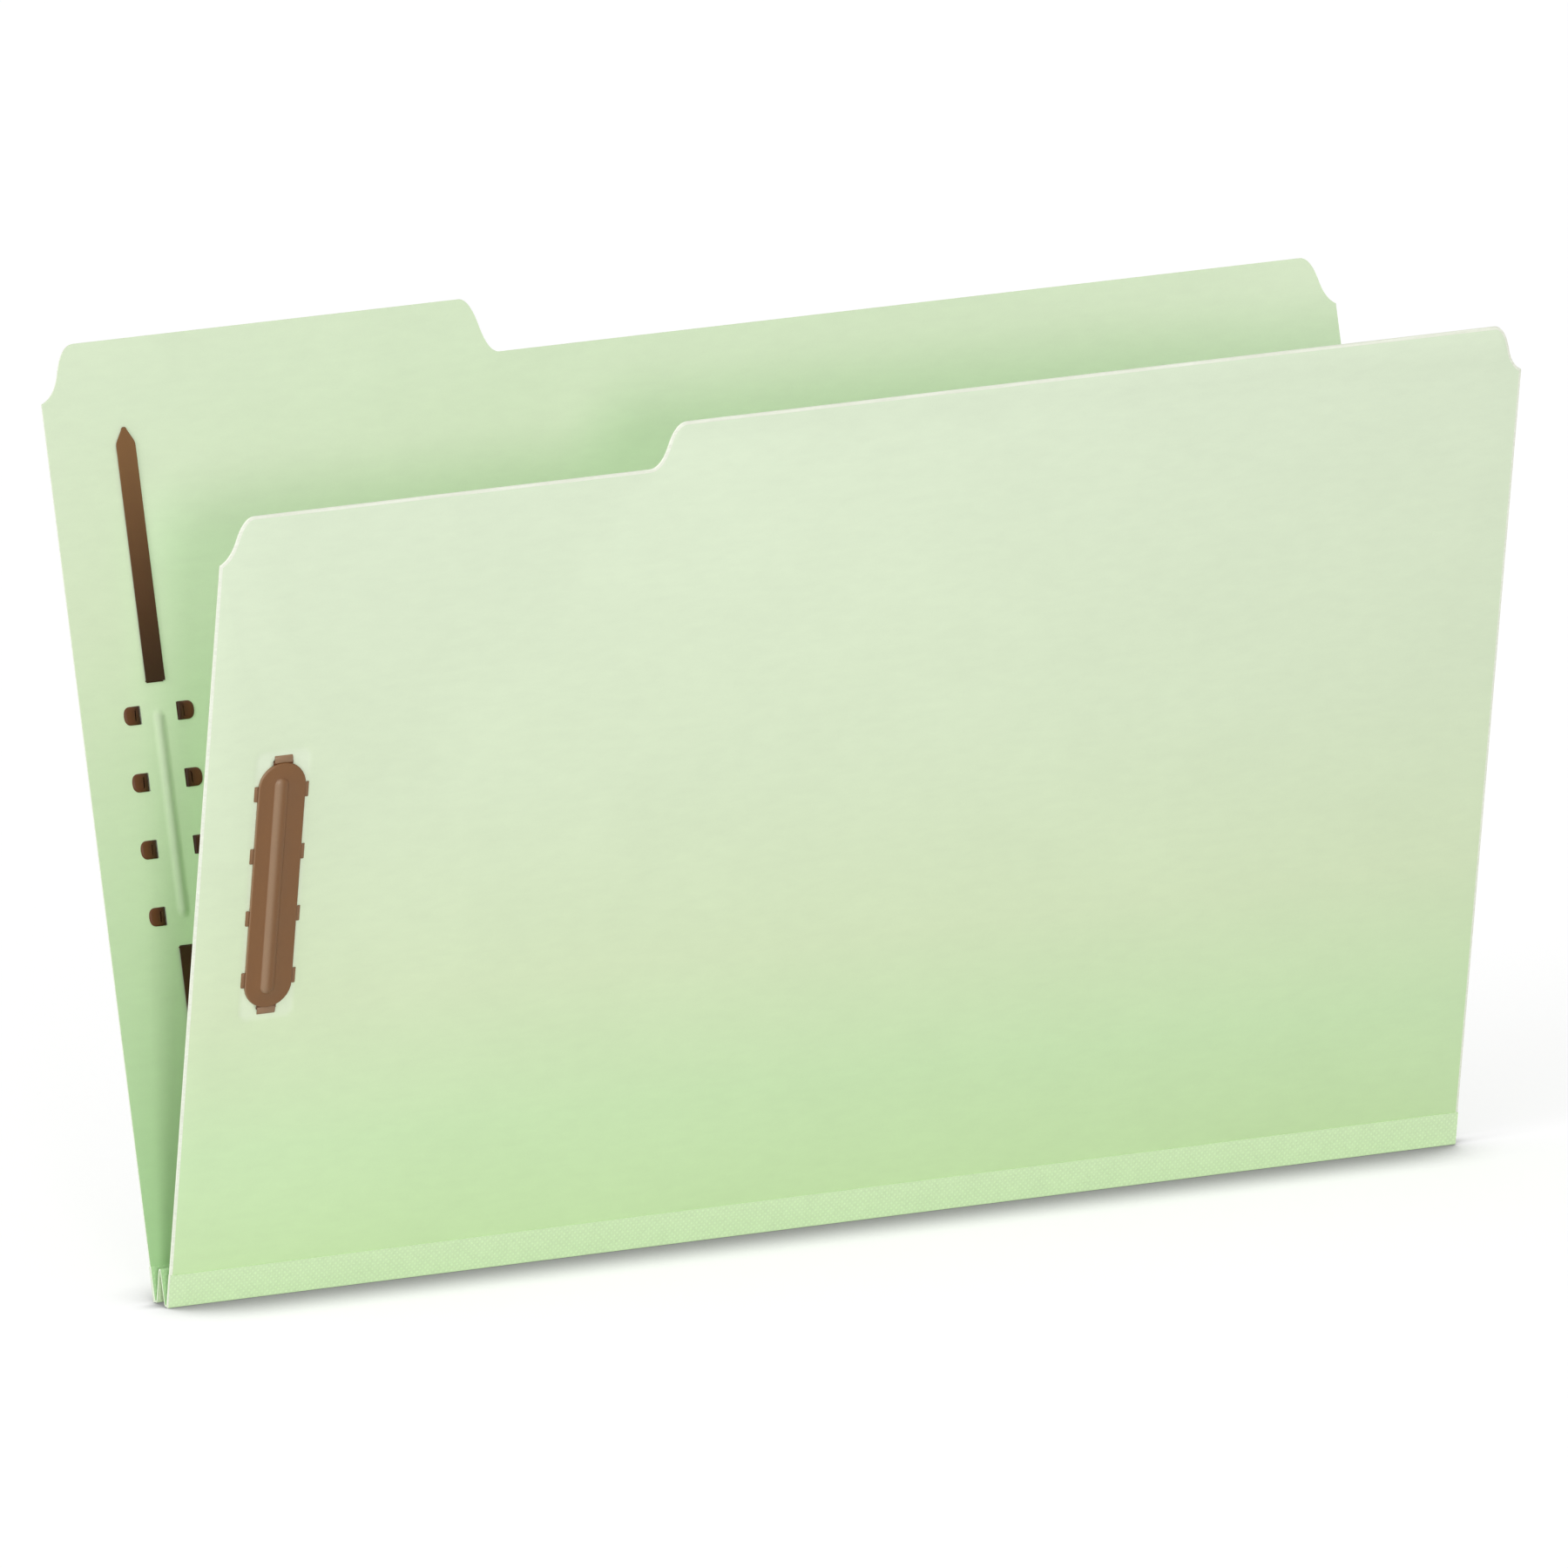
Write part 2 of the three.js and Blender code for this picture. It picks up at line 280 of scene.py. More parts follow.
class Nodes:
    """Short calls to add nodes to the node tree of a material or a world."""

    def __init__(self, tree):
        self.tree = tree

    def add(self, kind, **settings):
        node = self.tree.nodes.new(kind)
        for key, value in settings.items():
            setattr(node, key, value)
        return node

    def link(self, source, target):
        """Links a node's output to an input, or sets the input to a value."""
        if isinstance(source, (int, float, tuple)):
            target.default_value = source
        else:
            self.tree.links.new(source, target)

    def math(self, operation, first, second):
        node = self.add("ShaderNodeMath", operation=operation)
        self.link(first, node.inputs[0])
        self.link(second, node.inputs[1])
        return node.outputs[0]

    def remap(self, value, from_low, from_high, to_low, to_high, kind="LINEAR"):
        node = self.add("ShaderNodeMapRange", interpolation_type=kind)
        self.link(value, node.inputs["Value"])
        self.link(from_low, node.inputs["From Min"])
        self.link(from_high, node.inputs["From Max"])
        self.link(to_low, node.inputs["To Min"])
        self.link(to_high, node.inputs["To Max"])
        return node.outputs["Result"]

    def ramp(self, value, stops):
        node = self.add("ShaderNodeValToRGB")
        elements = node.color_ramp.elements
        while len(elements) < len(stops):
            elements.new(0.5)
        for element, (position, colour) in zip(elements, stops):
            element.position = position
            element.color = colour
        self.link(value, node.inputs["Fac"])
        return node.outputs["Color"]

    def blend(self, share, first, second, kind="MIX"):
        # The inputs and outputs that are passed over are for numbers and vectors.
        node = self.add("ShaderNodeMix", data_type="RGBA", blend_type=kind)
        self.link(share, node.inputs[0])
        self.link(first, node.inputs[6])
        self.link(second, node.inputs[7])
        return node.outputs[2]

    def dim(self, colour, brightness):
        node = self.add("ShaderNodeVectorMath", operation="SCALE")
        self.link(colour, node.inputs[0])
        self.link(brightness, node.inputs["Scale"])
        return node.outputs[0]

    def tint(self, colour, noise, low, high):
        """The colour times a brightness from low to high, which follows a noise."""
        return self.dim(colour, self.remap(noise, NOISE_LOW, NOISE_HIGH, low, high))


class MaterialNodes(Nodes):
    """A new material with its principled shader."""

    def __init__(self, name, roughness, specular=0.35):
        self.material = bpy.data.materials.new(name)
        self.material.use_nodes = True
        super().__init__(self.material.node_tree)
        self.shader = self.tree.nodes["Principled BSDF"]
        self.shader.inputs["Roughness"].default_value = roughness
        self.shader.inputs["Specular IOR Level"].default_value = specular
        self.place = self.add("ShaderNodeTexCoord").outputs["Object"]

    def noise(self, scale, detail, stretch=(1, 1, 1)):
        """Noise whose features are about 1/scale metres, longer where stretch is small."""
        mapping = self.add("ShaderNodeMapping")
        mapping.inputs["Scale"].default_value = stretch
        self.link(self.place, mapping.inputs["Vector"])
        node = self.add("ShaderNodeTexNoise")
        node.inputs["Scale"].default_value = scale
        node.inputs["Detail"].default_value = detail
        node.inputs["Roughness"].default_value = NOISE_ROUGHNESS
        self.link(mapping.outputs["Vector"], node.inputs["Vector"])
        return node.outputs["Fac"]

    def bump(self, heights):
        """Bumps one after the other, each a height from 0 to 1 and its depth in millimetres."""
        normal = None
        for height, depth in heights:
            node = self.add("ShaderNodeBump")
            node.inputs["Distance"].default_value = depth * MM
            self.link(height, node.inputs["Height"])
            if normal is not None:
                self.link(normal, node.inputs["Normal"])
            normal = node.outputs["Normal"]
        self.link(normal, self.shader.inputs["Normal"])

    def finish(self, colour):
        self.link(colour, self.shader.inputs["Base Color"])
        return self.material


def height_share(nodes):
    """How far up the folder a point is, from 0 at the floor to 1 at the top of the tab."""
    split = nodes.add("ShaderNodeSeparateXYZ")
    nodes.link(nodes.place, split.inputs[0])
    return nodes.math("DIVIDE", split.outputs["Z"], (COVER_HEIGHT + TAB_HEIGHT) * MM * math.cos(LEAN))


def pressboard_grain(nodes, colour, relief=()):
    """Pressed fibres: soft clouds, short flecks and a fine tooth, on top of a relief."""
    clouds = nodes.noise(38, detail=4)
    flecks = nodes.noise(420, detail=3, stretch=(0.35, 1, 1))
    tooth = nodes.noise(2600, detail=2)
    colour = nodes.tint(colour, clouds, 0.985, 1.015)
    colour = nodes.tint(colour, flecks, 0.982, 1.018)
    colour = nodes.tint(colour, tooth, 0.99, 1.01)
    nodes.link(nodes.remap(flecks, 0.3, 0.7, 0.5, 0.66), nodes.shader.inputs["Roughness"])
    nodes.bump([*relief, (clouds, CLOUD_RELIEF), (flecks, FLECK_RELIEF), (tooth, TOOTH_RELIEF)])
    return colour


def pressboard_outside():
    nodes = MaterialNodes("pressboard_outside", roughness=0.58)
    # Painted shade: the outer face is darker and greener towards the floor.
    colour = nodes.ramp(height_share(nodes), [
        (0.04, linear(203, 229, 178)),
        (0.17, linear(206, 231, 185)),
        (0.33, linear(215, 230, 193)),
        (0.55, linear(218, 232, 201)),
        (0.95, linear(221, 234, 208)),
    ])
    # Painted highlight: the board is pressed in round the plate, and its colour there is painted paler.
    pressed = nodes.add("ShaderNodeAttribute", attribute_name="pressed").outputs["Fac"]
    pale = linear(236, 244, 226)
    colour = nodes.blend(nodes.math("MULTIPLY", pressed, HALO_HIGHLIGHT_SHARE), colour, pale)
    return nodes.finish(pressboard_grain(nodes, colour))


def hidden_share(nodes):
    """How far a point of an inner face is hidden from the light by the other cover, which is lower at the
    left, for the painted shade there.
    """
    def soft_ramp(value, start, end, low=0, high=1):
        return nodes.remap(value, start * MM, end * MM, low, high, kind="SMOOTHSTEP")

    split = nodes.add("ShaderNodeSeparateXYZ")
    nodes.link(nodes.place, split.inputs[0])
    across = split.outputs["X"]
    left = -COVER_WIDTH / 2
    low_side_end = left + TAB_INSET + TAB_WIDTH
    top = COVER_HEIGHT * math.cos(LEAN)
    step_start = low_side_end + HIDDEN_STEP_FROM
    step_end = low_side_end + HIDDEN_STEP_TO
    drop = soft_ramp(across, step_start, step_end, LOW_SIDE_DROP * MM, 0)
    height = nodes.math("ADD", split.outputs["Z"], drop)
    below_edge = soft_ramp(height, top - HIDDEN_FROM, top - HIDDEN_FULLY_FROM)
    beside_end = soft_ramp(across, left + HIDDEN_FROM_SIDE, left + HIDDEN_FULLY_FROM_SIDE)
    return nodes.math("MULTIPLY", below_edge, beside_end)


def pressboard_inside():
    """The inner face, with painted shade: darker and greener towards the floor, greener where the other
    cover hides it from the light, and greyer on the ridge.
    """
    nodes = MaterialNodes("pressboard_inside", roughness=0.58)
    # Painted shade: the inner face is darker and greener towards the floor.
    colour = nodes.ramp(height_share(nodes), [
        (0.04, linear(176, 213, 157)),
        (0.33, linear(198, 221, 179)),
        (0.70, linear(217, 229, 199)),
        (0.95, linear(219, 232, 204)),
    ])
    # Painted shade: greener where the other cover shades the face from the light.
    colour = nodes.blend(hidden_share(nodes), colour, HIDDEN_SHADE_TINT, kind="MULTIPLY")
    ridged = nodes.add("ShaderNodeAttribute", attribute_name="ridged").outputs["Fac"]
    # Painted shade: greyer on the ridge.
    colour = nodes.blend(ridged, colour, RIDGE_SHADE_TINT, kind="MULTIPLY")
    return nodes.finish(pressboard_grain(nodes, colour, relief=[(ridged, RIDGE_RELIEF)]))


def pressboard_edge():
    """The pale cut edge, with the layers of the board showing as faint lines along it."""
    nodes = MaterialNodes("pressboard_edge", roughness=0.8, specular=0.2)
    layers = nodes.noise(1800, detail=3, stretch=(0.04, 1, 1))
    fibres = nodes.noise(700, detail=4)
    colour = nodes.ramp(layers, [(0.3, linear(229, 233, 216)), (0.7, linear(241, 245, 230))])
    colour = nodes.tint(colour, fibres, 0.97, 1.02)
    nodes.bump([(layers, LAYER_RELIEF), (fibres, FIBRE_RELIEF)])
    return nodes.finish(colour)


def weave(nodes):
    """Threads that cross at right angles on the slant, from 0 between them to 1 on their crowns."""
    crowns = []
    for slant in (1, -1):
        mapping = nodes.add("ShaderNodeMapping")
        mapping.inputs["Rotation"].default_value = (0, slant * math.radians(45), 0)
        nodes.link(nodes.place, mapping.inputs["Vector"])
        wave = nodes.add("ShaderNodeTexWave", wave_type="BANDS", bands_direction="X")
        wave.inputs["Scale"].default_value = 2 / (math.tau * THREAD_PITCH * MM)
        wave.inputs["Distortion"].default_value = THREAD_SWAY
        wave.inputs["Detail Scale"].default_value = SWAY_SCALE
        nodes.link(mapping.outputs["Vector"], wave.inputs["Vector"])
        crowns.append(wave.outputs["Fac"])
    return nodes.math("MULTIPLY", crowns[0], crowns[1])


def tape_face(name, low_colour, high_colour):
    """Woven cloth tape, with speckles where the threads cross. The colours go with heights."""
    nodes = MaterialNodes(name, roughness=0.82, specular=0.2)
    threads = weave(nodes)
    speckles = nodes.noise(900, detail=2)
    clouds = nodes.noise(120, detail=3)
    colour = nodes.ramp(height_share(nodes), [
        (0.0, low_colour),
        (0.05, high_colour),
    ])
    colour = nodes.tint(colour, threads, 0.965, 1.06)
    colour = nodes.tint(colour, speckles, 0.97, 1.03)
    colour = nodes.tint(colour, clouds, 0.98, 1.02)
    nodes.bump([(threads, THREAD_RELIEF), (speckles, SPECKLE_RELIEF)])
    return nodes.finish(colour)


def tape_edge():
    nodes = MaterialNodes("tape_edge", roughness=0.85, specular=0.2)
    fibres = nodes.noise(1500, detail=3)
    colour = nodes.ramp(fibres, [(0.3, linear(224, 238, 208)), (0.7, linear(240, 248, 228))])
    nodes.bump([(fibres, FIBRE_RELIEF)])
    return nodes.finish(colour)


def brown_lacquer(name, colours, gloss):
    """Brown lacquer on stamped steel, with a faint orange peel and fine dust.

    The colours go with heights up the folder. Painted shade makes the coat darker where the metal bends into
    a slit, and a painted highlight makes it paler on the loops and on the side of the rib and rim towards
    the light."""
    nodes = MaterialNodes(name, roughness=0.42, specular=gloss)
    peel = nodes.noise(900, detail=2)
    dust = nodes.noise(5200, detail=2)
    clouds = nodes.noise(150, detail=3)
    colour = nodes.ramp(height_share(nodes), colours)
    # Painted shade: darker where the metal bends into a slit.
    bend = nodes.add("ShaderNodeAttribute", attribute_name="bend").outputs["Fac"]
    colour = nodes.dim(colour, nodes.remap(bend, 0, 1, 1.0, BENT_SHADE_BRIGHTNESS))
    # Painted highlight: paler on the loops and on the lit side of a plate's rib and rim.
    highlit = nodes.add("ShaderNodeAttribute", attribute_name="highlit").outputs["Fac"]
    highlight_colour = linear(170, 144, 118)
    colour = nodes.blend(nodes.math("MULTIPLY", highlit, PLATE_HIGHLIGHT_SHARE), colour, highlight_colour)
    colour = nodes.tint(colour, clouds, 0.97, 1.03)
    colour = nodes.tint(colour, dust, 0.95, 1.06)
    nodes.link(nodes.remap(clouds, 0.3, 0.7, 0.38, 0.48), nodes.shader.inputs["Roughness"])
    nodes.bump([(peel, PEEL_RELIEF), (dust, DUST_RELIEF)])
    return nodes.finish(colour)


# Meshes

# The numbers of the materials on a board, on a tape and on a plate
INNER_FACE = 0
OUTER_FACE = 1
CUT_EDGE = 2
TAPE_FACE = 0
TAPE_EDGE = 1
PLATE_COAT = 0
TANG_COAT = 1


def add_piece(name, points, faces, materials, marks=None, sharp=40):
    """A mesh object of placed points. marks gives each face its material's number."""
    mesh = bpy.data.meshes.new(name)
    mesh.from_pydata([tuple(point) for point in points], [], faces)
    for material in materials:
        mesh.materials.append(material)
    if marks:
        mesh.polygons.foreach_set("material_index", marks)
    mesh.polygons.foreach_set("use_smooth", [True] * len(mesh.polygons))
    mesh.validate()
    mesh.set_sharp_from_angle(angle=math.radians(sharp))
    piece = bpy.data.objects.new(name, mesh)
    bpy.context.scene.collection.objects.link(piece)
    return piece


def turn_faces_out(piece):
    working = bmesh.new()
    working.from_mesh(piece.data)
    bmesh.ops.recalc_face_normals(working, faces=working.faces)
    working.to_mesh(piece.data)
    working.free()


def set_shares(piece, name, shares):
    """A number for each point of the mesh, which its materials read by name."""
    attribute = piece.data.attributes.new(name, "FLOAT", "POINT")
    attribute.data.foreach_set("value", shares)


def parabola(start, corner, end, steps):
    """Points of a parabola that leaves start and reaches end towards the corner, without start."""
    points = []
    for step in range(1, steps + 1):
        t = step / steps
        points.append(tuple(
            (1 - t) ** 2 * a + 2 * t * (1 - t) * b + t * t * c for a, b, c in zip(start, corner, end)))
    return points


def s_curve(start, end, middle_x, flare):
    """An S whose two parabolas meet at middle_x. It leans outwards towards its foot."""
    middle = (middle_x, (start[1] + end[1]) / 2)
    lean = math.copysign(CORNER_LEAN, (end[0] - start[0]) * (start[1] - end[1]))

    def turn_of(point):
        y = point[1] + flare if point[1] < middle[1] else point[1]
        return (middle_x + lean * (middle[1] - y), y)

    first = parabola(start, turn_of(start), middle, CORNER_STEPS)
    return first + parabola(middle, turn_of(end), end, CORNER_STEPS)


def foot_and_right_side():
    """The part that both outlines share, up to the end of the cut-away corner at the right."""
    right = COVER_WIDTH / 2
    points = [(-right, BOARD_FOOT), (right, BOARD_FOOT), (right, COVER_HEIGHT - NOTCH_DEPTH)]
    corner_end = (right - NOTCH_WIDTH, COVER_HEIGHT)
    return points + s_curve(points[-1], corner_end, right - NOTCH_INSET, CORNER_FLARE)


def front_outline():
    """The front cover's outline, up the right side and over to the lowered left third."""
    left = -COVER_WIDTH / 2
    step_x = left + TAB_INSET + TAB_WIDTH
    half_step = STEP_WIDTH / 2
    low_top = COVER_HEIGHT - LOW_SIDE_DROP
    points = foot_and_right_side()
    points.append((step_x + half_step, COVER_HEIGHT))
    points += s_curve(points[-1], (step_x - half_step, low_top), step_x, 0)
    points.append((left + NOTCH_WIDTH, low_top))
    points += s_curve(points[-1], (left, low_top - NOTCH_DEPTH), left + NOTCH_INSET, CORNER_FLARE)
    return points


def rear_outline():
    """The rear cover's outline, up the right side and over to the tab."""
    left = -COVER_WIDTH / 2
    tab_top = COVER_HEIGHT + TAB_HEIGHT
    tab_right = left + TAB_INSET + TAB_WIDTH
    half_step = STEP_WIDTH / 2
    points = foot_and_right_side()
    points.append((tab_right + half_step, COVER_HEIGHT))
    points += s_curve(points[-1], (tab_right - half_step, tab_top), tab_right, 0)
    points.append((left + 2 * TAB_INSET, tab_top))
    points += s_curve(points[-1], (left, COVER_HEIGHT), left + TAB_INSET, CORNER_FLARE)
    return points


def tang_heights(centre):
    first = centre - (TANG_ROWS - 1) * TANG_PITCH / 2
    return [first + row * TANG_PITCH for row in range(TANG_ROWS)]


def rectangle(x, y, width, height):
    return [(x - width / 2, y - height / 2), (x + width / 2, y - height / 2),
            (x + width / 2, y + height / 2), (x - width / 2, y + height / 2)]


def board_holes(centre):
    """The slots for the prongs and the slits for the plate's tangs."""
    holes = []
    for end in (-1, 1):
        holes.append(rectangle(FASTENER_X, centre + end * PRONG_SPACING / 2, SLOT_WIDTH, SLOT_HEIGHT))
        for height in tang_heights(centre):
            holes.append(rectangle(FASTENER_X + end * TANG_X, height, SLIT_WIDTH, TANG_WIDTH + SLIT_MARGIN))
    return holes


def inside(point, loop):
    """Whether a flat point lies inside a closed loop of points."""
    x, y = point
    found = False
    for (ax, ay), (bx, by) in zip(loop, loop[1:] + loop[:1]):
        if (ay > y) != (by > y) and x < ax + (y - ay) * (bx - ax) / (by - ay):
            found = not found
    return found


def drawn_in(outline, distance):
    """The same closed loop moved inwards. The loop runs with its inside on the left."""
    loop = [Vector(point) for point in outline]
    moved = []
    for before, point, after in zip(loop[-1:] + loop[:-1], loop, loop[1:] + loop[:1]):
        entry = (point - before).normalized()
        leave = (after - point).normalized()
        normal = (Vector((-entry.y, entry.x)) + Vector((-leave.y, leave.x))).normalized()
        moved.append(point + normal * distance / max(normal.dot(Vector((-entry.y, entry.x))), LEAST_MITRE))
    return moved


def middle_of(triangle, points):
    return sum((points[index] for index in triangle), Vector((0, 0))) / 3


def flat_net(outline, rim, centre):
    """Points and triangles of a cover's face, close together round its fastener."""
    points = []
    loops = []
    holes = board_holes(centre)
    for loop in [outline, rim] + holes:
        loops.append(list(range(len(points), len(points) + len(loop))))
        points += [Vector(point) for point in loop]
    half_width = HALO_HALF_WIDTH + NET_MARGIN
    half_length = HALO_HALF_LENGTH + NET_MARGIN
    columns = round(2 * half_width / NET_COLUMN)
    rows = round(2 * half_length / NET_ROW)
    for row in range(rows + 1):
        for column in range(columns + 1):
            x = FASTENER_X - half_width + 2 * half_width * column / columns
            y = centre - half_length + 2 * half_length * row / rows
            if not any(inside((x, y), hole) for hole in holes):
                points.append(Vector((x, y)))
    edges = [(a, b) for loop in loops for a, b in zip(loop, loop[1:] + loop[:1])]
    net_points, _, triangles, _, _, _ = delaunay_2d_cdt(points, edges, [], 0, SAME_POINT)
    kept = []
    for triangle in triangles:
        middle = middle_of(triangle, net_points)
        if inside(middle, outline) and not any(inside(middle, hole) for hole in holes):
            kept.append(list(triangle))
    return net_points, kept


def ridge(dx, dy):
    """The share of the ridge's height at a place near the fastener's middle."""
    reach = RIDGE_LENGTH / 2 - RIDGE_HALF_WIDTH
    distance = math.hypot(dx, max(abs(dy) - reach, 0))
    return 1 - smooth_step(0, RIDGE_HALF_WIDTH, distance)


def halo(dx, dy):
    """How far the board is pressed in round the plate, from 0 to 1. The same share sets the painted
    highlight there.
    """
    qx = abs(dx) - HALO_HALF_WIDTH + HALO_CORNER
    qy = abs(dy) - HALO_HALF_LENGTH + HALO_CORNER
    distance = math.hypot(max(qx, 0), max(qy, 0)) + min(max(qx, qy), 0) - HALO_CORNER
    return 1 - smooth_step(-HALO_EDGE, 0, distance)


def outer_face_depth(dx, dy):
    """How deep the outer face lies, pressed in round the plate and under the prong strip."""
    depth = BOARD_DEPTH + BOARD_THICKNESS - HALO_DEPTH * halo(dx, dy)
    bed = STRIP_BED_DEPTH * ridge(dx, dy)
    start = PLATE_RIB_LENGTH / 2 - STRIP_END_START
    stop = PRONG_SPACING / 2 + STRIP_END_STOP
    if abs(dx) < PRONG_WIDTH / 2 + STRIP_END_MARGIN and start < abs(dy) < stop:
        bed = max(bed, STRIP_END_BED_DEPTH)
    return depth - bed


def open_edges(triangles):
    """The edges that only one triangle has. They run along the outline and the holes."""
    edges = [edge for triangle in triangles for edge in zip(triangle, triangle[1:] + triangle[:1])]
    known = set(edges)
    return [(a, b) for a, b in edges if (b, a) not in known]


def build_board(side, outline, inner, outer, edge):
    """A cover's board: its two faces over one net of points, and walls along all its cuts."""
    centre = CENTRE_HEIGHT[side]
    rim = [tuple(point) for point in drawn_in(outline, RIM_WIDTH)]
    net, triangles = flat_net(outline, rim, centre)
    count = len(net)
    inner_points = []
    outer_points = []
    pressed = []
    ridged = []
    for index, (x, y) in enumerate(net):
        dx = x - FASTENER_X
        dy = y - centre
        drop = RIM_DROP if index < len(outline) else 0
        inner_points.append(on_cover(side, x, BOARD_DEPTH - RIDGE_HEIGHT * ridge(dx, dy), y))
        outer_points.append(on_cover(side, x, outer_face_depth(dx, dy) - drop, y))
        pressed.append(halo(dx, dy))
        ridged.append(ridge(dx, dy))
    points = inner_points + outer_points
    faces = [list(reversed(triangle)) for triangle in triangles]
    faces += [[index + count for index in triangle] for triangle in triangles]
    marks = [INNER_FACE] * len(triangles)
    for triangle in triangles:
        marks.append(OUTER_FACE if inside(middle_of(triangle, net), rim) else CUT_EDGE)
    walls = [[a, b, b + count, a + count] for a, b in open_edges(triangles)]
    faces += walls
    marks += [CUT_EDGE] * len(walls)
    piece = add_piece(f"{side}_board", points, faces, [inner, outer, edge], marks, sharp=50)
    turn_faces_out(piece)
    # The pressed share also sets the painted highlight round the plate.
    set_shares(piece, "pressed", pressed + pressed)
    set_shares(piece, "ridged", ridged + ridged)
    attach(piece, f"{side}_cover")
    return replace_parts(piece, f"{side}_cover")


# Tape

def rounded_path(points, radius, steps=5):
    """The path of flat points with its corners rounded off."""
    rounded = [points[0]]
    for before, corner, after in zip(points, points[1:], points[2:]):
        entry = corner + (before - corner).normalized() * min(radius, (before - corner).length / 2)
        leave = corner + (after - corner).normalized() * min(radius, (after - corner).length / 2)
        for step in range(steps + 1):
            t = step / steps
            rounded.append(entry * (1 - t) ** 2 + corner * 2 * t * (1 - t) + leave * t * t)
    rounded.append(points[-1])
    return rounded


def ribbon(name, path, face, edge):
    """Tape that follows a path across the spine and runs along the whole of it."""
    half = TAPE_THICKNESS * MM / 2
    sides = ([], [])
    for index, point in enumerate(path):
        before = path[max(index - 1, 0)]
        after = path[min(index + 1, len(path) - 1)]
        along = (after - before).normalized()
        across = Vector((0, along.z, -along.y)) * half
        sides[0].append(point + across)
        sides[1].append(point - across)
    section = sides[0] + sides[1][::-1]
    count = len(section)
    half_length = COVER_WIDTH * MM / 2
    points = [Vector((x, point.y, point.z)) for x in (-half_length, half_length) for point in section]
    faces = []
    marks = []
    for index in range(count):
        following = (index + 1) % count
        faces.append([index, following, following + count, index + count])
        marks.append(TAPE_FACE)
    last = len(path) - 1
    for offset in (0, count):
        for index in range(last):
            faces.append([offset + index, offset + index + 1,
                          offset + count - 2 - index, offset + count - 1 - index])
            marks.append(TAPE_EDGE)
    piece = add_piece(name, points, faces, [face, edge], marks, sharp=50)
    turn_faces_out(piece)
    return piece


def leg_middle(side, depth):
    return on_leg(side, 0, depth, PLEAT_LEG / 2)


def outer_tape_path(side):
    """From the top of the outer band, under the board's foot and halfway up the pleat leg."""
    half = TAPE_THICKNESS / 2
    outer = BOARD_DEPTH + BOARD_THICKNESS + half
    foot = BOARD_FOOT - half
    ply = PLY_DEPTH + 3 * half
    return rounded_path([
        on_cover(side, 0, outer, BAND_HEIGHT),
        on_cover(side, 0, outer, foot),
        on_cover(side, 0, ply / 2, foot),
        on_leg(side, 0, ply, ply / 2),
        leg_middle(side, ply),
    ], TAPE_FOLD_ROUND * MM)


def inner_tape_path(side):
    """From the top of the inner band, down to the fold and halfway up the pleat leg."""
    half = TAPE_THICKNESS / 2
    inner = BOARD_DEPTH - half
    foot = BOARD_FOOT + half
    ply = PLY_DEPTH + half
    return rounded_path([
        on_cover(side, 0, inner, BAND_HEIGHT),
        on_cover(side, 0, inner, foot + ply / 2),
        on_cover(side, 0, ply / 2, foot),
        on_leg(side, 0, ply, foot + ply / 2),
        leg_middle(side, ply),
    ], TAPE_FOLD_ROUND * MM)


def peak_path(ply, steps=12):
    """Over the top of the pleat, from the middle of one leg to the middle of the other."""
    axis = FOLDS["pleat_crease"]
    radius = (PLEAT_DEPTH - ply) * MM
    path = [leg_middle("rear", ply)]
    for step in range(steps + 1):
        angle = LEAN + (math.pi - 2 * LEAN) * step / steps
        path.append(axis + Vector((0, math.cos(angle), math.sin(angle))) * radius)
    path.append(leg_middle("front", ply))
    return path


def build_tape(faces, edge):
    """Each tape is three pieces, and each piece is drawn across one fold."""
    plies = {
        "outer": (outer_tape_path, PLY_DEPTH + 1.5 * TAPE_THICKNESS),
        "inner": (inner_tape_path, PLY_DEPTH + 0.5 * TAPE_THICKNESS),
    }
    for layer, (path_of, ply) in plies.items():
        for side, outward in OUTWARD.items():
            piece = ribbon(f"{side}_{layer}_tape", path_of(side), faces[layer], edge)
            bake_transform(piece)
            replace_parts(piece, f"{side}_{layer}_tape_band")
        peak = ribbon(f"{layer}_tape_peak", peak_path(ply), faces[layer], edge)
        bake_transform(peak)
        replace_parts(peak, f"rear_pleat_{layer}_tape", f"front_pleat_{layer}_tape")


# Fasteners

def obround(width, length, steps=16):
    """A closed loop of flat points: two half circles joined by straight sides."""
    radius = width / 2
    reach = length / 2 - radius
    points = []
    for start, shift in ((0, reach), (math.pi, -reach)):
        for step in range(steps + 1):
            angle = start + math.pi * step / steps
            points.append((radius * math.cos(angle), shift + radius * math.sin(angle)))
    return points


def loft(rings):
    """Faces over rings of equal length, with a cap on the first and the last."""
    count = len(rings[0])
    points = [point for ring in rings for point in ring]
    faces = []
    for level in range(len(rings) - 1):
        low = level * count
        for index in range(count):
            following = (index + 1) % count
            faces.append([low + index, low + following, low + count + following, low + count + index])
    faces.append(list(range(count))[::-1])
    faces.append(list(range((len(rings) - 1) * count, len(points))))
    return points, faces


def joined(parts):
    """The points and faces of several parts, as those of one."""
    points = []
    faces = []
    for part_points, part_faces in parts:
        faces += [[index + len(points) for index in face] for face in part_faces]
        points += part_points
    return points, faces


def rounding(radius, steps=5):
    """Insets and drops of a quarter circle, from the side to the top."""
    return [(radius * (1 - math.cos(math.pi / 2 * step / steps)),
             radius * (1 - math.sin(math.pi / 2 * step / steps))) for step in range(steps + 1)]


